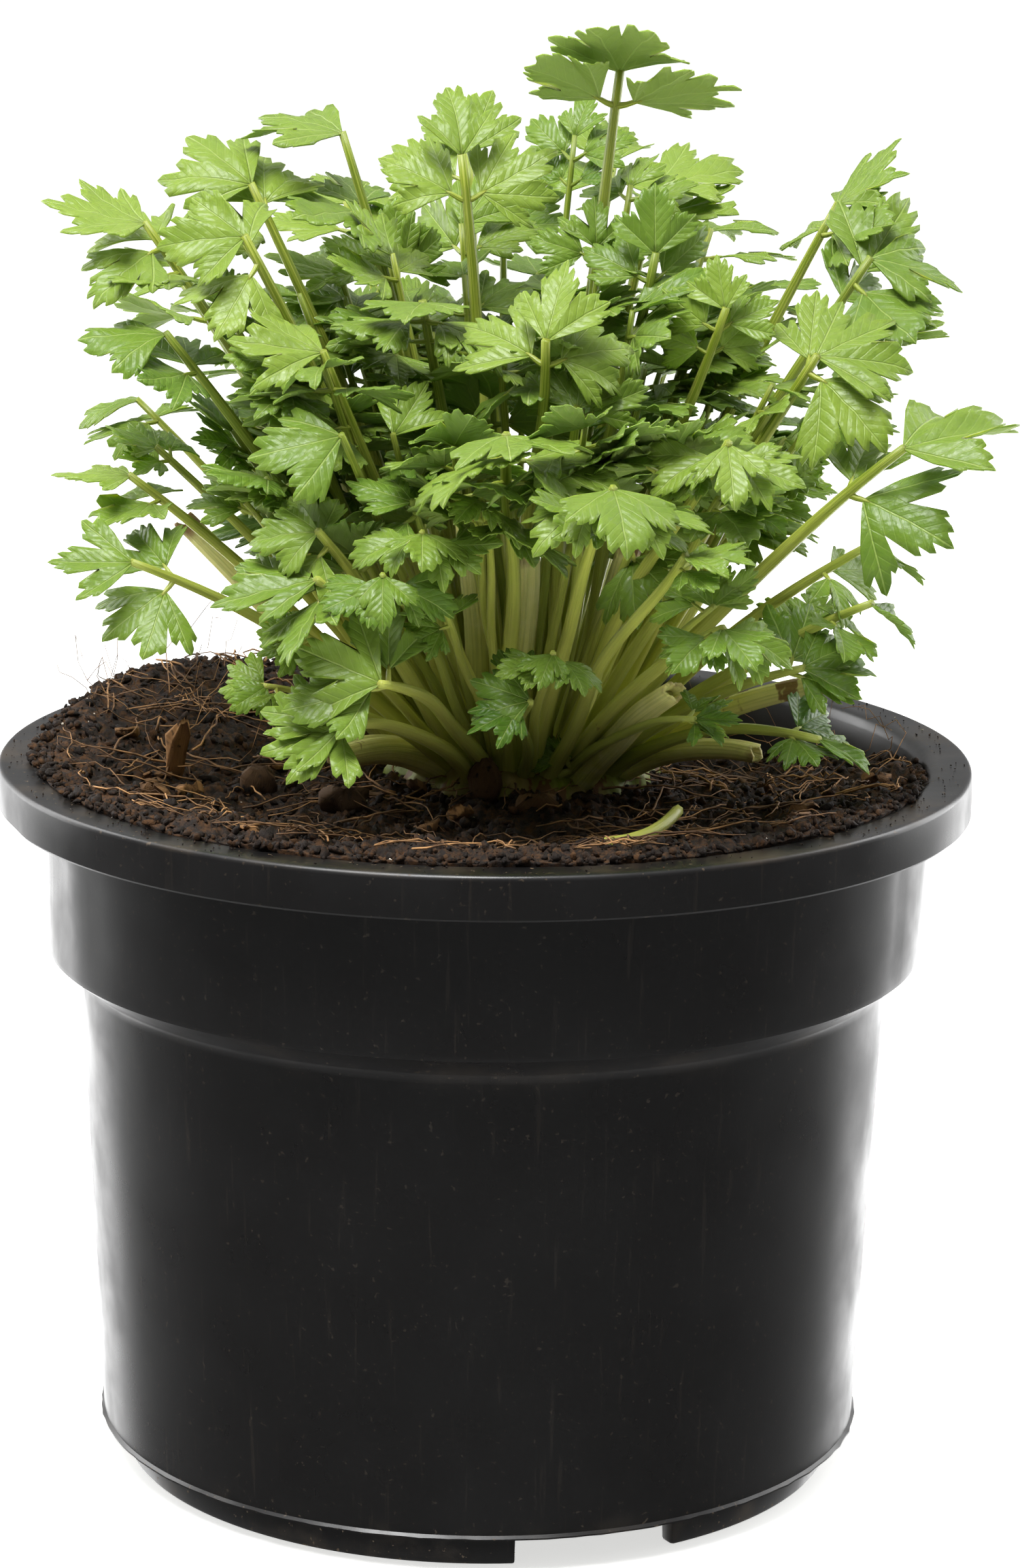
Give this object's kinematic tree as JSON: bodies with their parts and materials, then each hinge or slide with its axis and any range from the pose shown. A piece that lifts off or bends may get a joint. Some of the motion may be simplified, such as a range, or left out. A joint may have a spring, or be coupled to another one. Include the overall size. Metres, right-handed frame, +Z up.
{
  "type": "potted celery",
  "caption": "Celery plant growing again from a cut crown, with toothed compound leaves and cut stubs, in a round black nursery pot filled with soil.",
  "frame": {"origin": "on the axis of the pot, at the height of the floor that its feet stand on", "axes": "+Z up, -Y towards the front, +X to the right seen from the front"},
  "size_m": [0.1929, 0.19, 0.2868],
  "materials": {
    "pot_plastic": "black moulded polypropylene, semi-matt, lightly scuffed",
    "soil": "loose peat potting soil with fibres and bark crumbs",
    "stalk": "ribbed waxy stalk, pale green to straw, cut ends dry and brown",
    "leaf": "thin glossy leaf, paler veins and back"
  },
  "bodies": {
    "root": {"pot": "pot_plastic", "soil": "soil", "crown": "stalk", "cut_stub_01": "stalk", "cut_stub_02": "stalk", "cut_stub_03": "stalk", "cut_stub_04": "stalk", "cut_stub_05": "stalk", "cut_stub_06": "stalk", "cut_stub_07": "stalk", "cut_stub_08": "stalk", "cut_stub_09": "stalk", "cut_stub_10": "stalk", "cut_stub_11": "stalk", "fallen_stalk": "stalk", "leaf_01": "leaf", "leaf_02": "leaf", "leaf_03": "leaf", "leaf_04": "leaf", "leaf_05": "leaf", "leaf_06": "leaf", "leaf_07": "leaf", "leaf_08": "leaf", "leaf_09": "leaf", "leaf_10": "leaf", "leaf_11": "leaf", "leaf_12": "leaf", "leaf_13": "leaf", "leaf_14": "leaf", "leaf_15": "leaf", "leaf_16": "leaf", "leaf_17": "leaf", "leaf_18": "leaf", "leaf_19": "leaf", "leaf_20": "leaf", "leaf_21": "leaf", "leaf_22": "leaf", "leaf_23": "leaf", "leaf_24": "leaf", "leaf_25": "leaf", "leaf_26": "leaf", "leaf_27": "leaf", "leaf_28": "leaf", "leaf_29": "leaf", "leaf_30": "leaf", "leaf_31": "leaf", "leaf_32": "leaf", "leaf_33": "leaf", "leaf_34": "leaf", "leaf_35": "leaf", "leaf_36": "leaf", "leaf_37": "leaf", "leaf_38": "leaf", "leaf_39": "leaf", "leaf_40": "leaf", "leaf_41": "leaf", "leaf_42": "leaf", "leaf_43": "leaf", "leaf_44": "leaf", "leaf_45": "leaf"}
  },
  "joints": []
}
